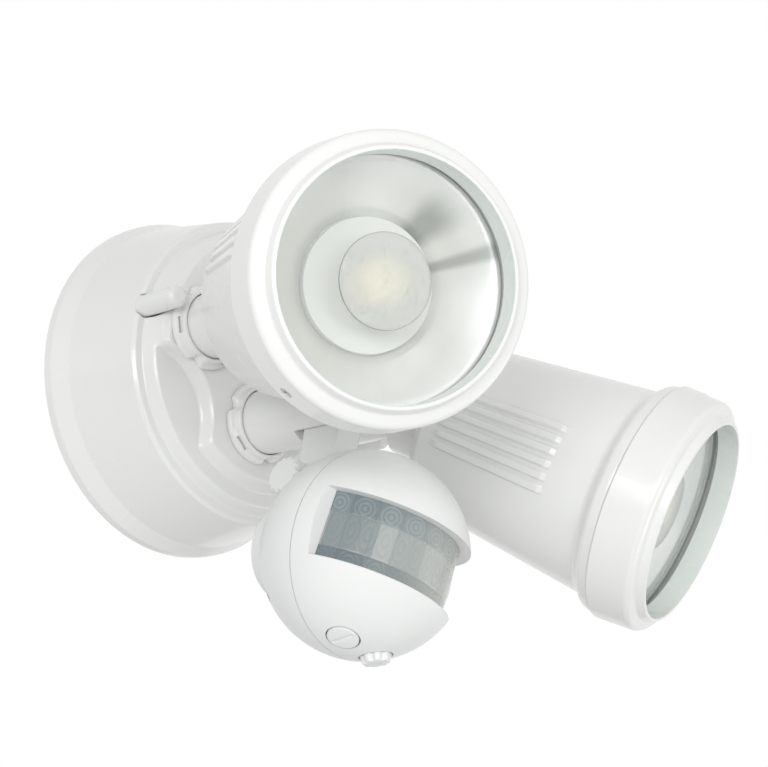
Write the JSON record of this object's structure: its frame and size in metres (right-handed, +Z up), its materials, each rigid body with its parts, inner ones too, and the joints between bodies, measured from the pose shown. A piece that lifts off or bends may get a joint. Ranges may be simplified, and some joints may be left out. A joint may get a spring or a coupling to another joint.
{
  "type": "motion sensor security light",
  "caption": "Round wall base with two swivelling spot lamps and a motion sensor globe on jointed arms.",
  "frame": {"origin": "centre of the round base, on the wall", "axes": "+Y into the wall, +Z up, the light stands out along -Y"},
  "size_m": [0.2446, 0.219, 0.1958],
  "materials": {
    "white_metal": "gloss white powder coat on die-cast aluminium",
    "white_plastic": "satin white moulded plastic",
    "zinc_steel": "zinc-plated steel",
    "seal_rubber": "grey silicone rubber",
    "clear_glass": "clear toughened glass with a pale green edge",
    "frosted_disc": "frosted translucent disc",
    "spun_aluminium": "bright spun aluminium with fine radial streaks",
    "plain_aluminium": "plain aluminium sheet",
    "led_yellow": "light source with a warm phosphor disc",
    "holder_plastic": "matt white moulded plastic",
    "window_lens": "milky faceted lens",
    "board_green": "circuit board",
    "driver_case": "moulded driver case",
    "terminal_plastic": "terminal block moulding",
    "brass": "terminal screws"
  },
  "bodies": {
    "base": {"base_housing": "white_metal", "wall_seal": "seal_rubber", "wall_bracket": "zinc_steel", "bracket_studs": "zinc_steel", "cap_nuts": "white_metal", "cable_grommet": "seal_rubber", "led_driver": "driver_case", "terminal_block": "terminal_plastic", "terminal_screws": "brass"},
    "lamp_1_arm": {"lamp_1_arm": "white_metal", "lamp_1_bolt": "zinc_steel", "lamp_1_nut": "zinc_steel"},
    "lamp_1_head": {"lamp_1_housing": "white_metal", "lamp_1_bezel": "white_metal", "lamp_1_glass": "clear_glass", "lamp_1_diffuser": "frosted_disc", "lamp_1_seal": "seal_rubber", "lamp_1_reflector": "spun_aluminium", "lamp_1_heat_plate": "plain_aluminium", "lamp_1_led": "led_yellow", "lamp_1_led_holder": "holder_plastic", "lamp_1_set_screws": "zinc_steel"},
    "lamp_1_ring": {"lamp_1_lock_ring": "white_metal"},
    "lamp_2_arm": {"lamp_2_arm": "white_metal", "lamp_2_bolt": "zinc_steel", "lamp_2_nut": "zinc_steel"},
    "lamp_2_head": {"lamp_2_housing": "white_metal", "lamp_2_bezel": "white_metal", "lamp_2_glass": "clear_glass", "lamp_2_diffuser": "frosted_disc", "lamp_2_seal": "seal_rubber", "lamp_2_reflector": "spun_aluminium", "lamp_2_heat_plate": "plain_aluminium", "lamp_2_led": "led_yellow", "lamp_2_led_holder": "holder_plastic", "lamp_2_set_screws": "zinc_steel"},
    "lamp_2_ring": {"lamp_2_lock_ring": "white_metal"},
    "sensor_arm": {"sensor_arm": "white_metal", "sensor_arm_bolt": "zinc_steel", "sensor_arm_nut": "zinc_steel"},
    "sensor_ring": {"sensor_lock_ring": "white_metal"},
    "sensor_link": {"sensor_link": "white_plastic"},
    "sensor_head": {"sensor_rear_shell": "white_plastic", "sensor_front_shell": "white_plastic", "sensor_lens": "window_lens", "sensor_board": "board_green", "sensor_element": "zinc_steel", "sensor_shell_screws": "zinc_steel", "sensor_clamp_bolt": "zinc_steel"},
    "sensor_knob": {"sensor_clamp_knob": "white_plastic"},
    "sensor_dial_1": {"sensor_dial_1": "white_plastic"},
    "sensor_dial_2": {"sensor_dial_2": "white_plastic"}
  },
  "joints": [
    {"name": "lamp_1_swivel", "type": "hinge", "parent": "base", "child": "lamp_1_arm", "pos_m": [-0.0371, -0.0909, -0.0032], "axis": [0, 1, 0], "range_deg": [-10, 90]},
    {"name": "lamp_1_tilt", "type": "hinge", "parent": "lamp_1_arm", "child": "lamp_1_head", "pos_m": [-0.0371, -0.0909, -0.0032], "axis": [-0.6871, 0, 0.7266], "range_deg": [-21.7, 28.3]},
    {"name": "lamp_1_ring_turn", "type": "hinge", "parent": "base", "child": "lamp_1_ring", "pos_m": [-0.0371, -0.0575, -0.0032], "axis": [0, -1, 0], "range_deg": [0, 360]},
    {"name": "lamp_2_swivel", "type": "hinge", "parent": "base", "child": "lamp_2_arm", "pos_m": [0.0371, -0.0909, -0.0032], "axis": [0, -1, 0], "range_deg": [-10, 90]},
    {"name": "lamp_2_tilt", "type": "hinge", "parent": "lamp_2_arm", "child": "lamp_2_head", "pos_m": [0.0371, -0.0909, -0.0032], "axis": [0.6252, 0, 0.7804], "range_deg": [-31.1, 18.9]},
    {"name": "lamp_2_ring_turn", "type": "hinge", "parent": "base", "child": "lamp_2_ring", "pos_m": [0.0371, -0.0575, -0.0032], "axis": [0, -1, 0], "range_deg": [0, 360]},
    {"name": "sensor_swivel", "type": "hinge", "parent": "base", "child": "sensor_arm", "pos_m": [0, -0.097, -0.0251], "axis": [0, 1, 0], "range_deg": [-15, 15]},
    {"name": "sensor_link_swing", "type": "hinge", "parent": "sensor_arm", "child": "sensor_link", "pos_m": [0, -0.097, -0.0251], "axis": [-1, 0, 0], "range_deg": [-15, 20]},
    {"name": "sensor_tilt", "type": "hinge", "parent": "sensor_link", "child": "sensor_head", "pos_m": [0, -0.1004, -0.0628], "axis": [1, 0, 0], "range_deg": [-5, 45]},
    {"name": "sensor_ring_turn", "type": "hinge", "parent": "base", "child": "sensor_ring", "pos_m": [0, -0.0575, -0.0251], "axis": [0, -1, 0], "range_deg": [0, 360]},
    {"name": "sensor_knob_turn", "type": "hinge", "parent": "sensor_head", "child": "sensor_knob", "pos_m": [-0.016, -0.1004, -0.0628], "axis": [-1, 0, 0], "range_deg": [0, 360]},
    {"name": "sensor_dial_1_turn", "type": "hinge", "parent": "sensor_head", "child": "sensor_dial_1", "pos_m": [-0.00826, -0.13677, -0.12124], "axis": [-0.2334, -0.2055, -0.9504], "range_deg": [-135, 135]},
    {"name": "sensor_dial_2_turn", "type": "hinge", "parent": "sensor_head", "child": "sensor_dial_2", "pos_m": [0.00826, -0.13677, -0.12124], "axis": [0.2334, -0.2055, -0.9504], "range_deg": [-135, 135]}
  ]
}
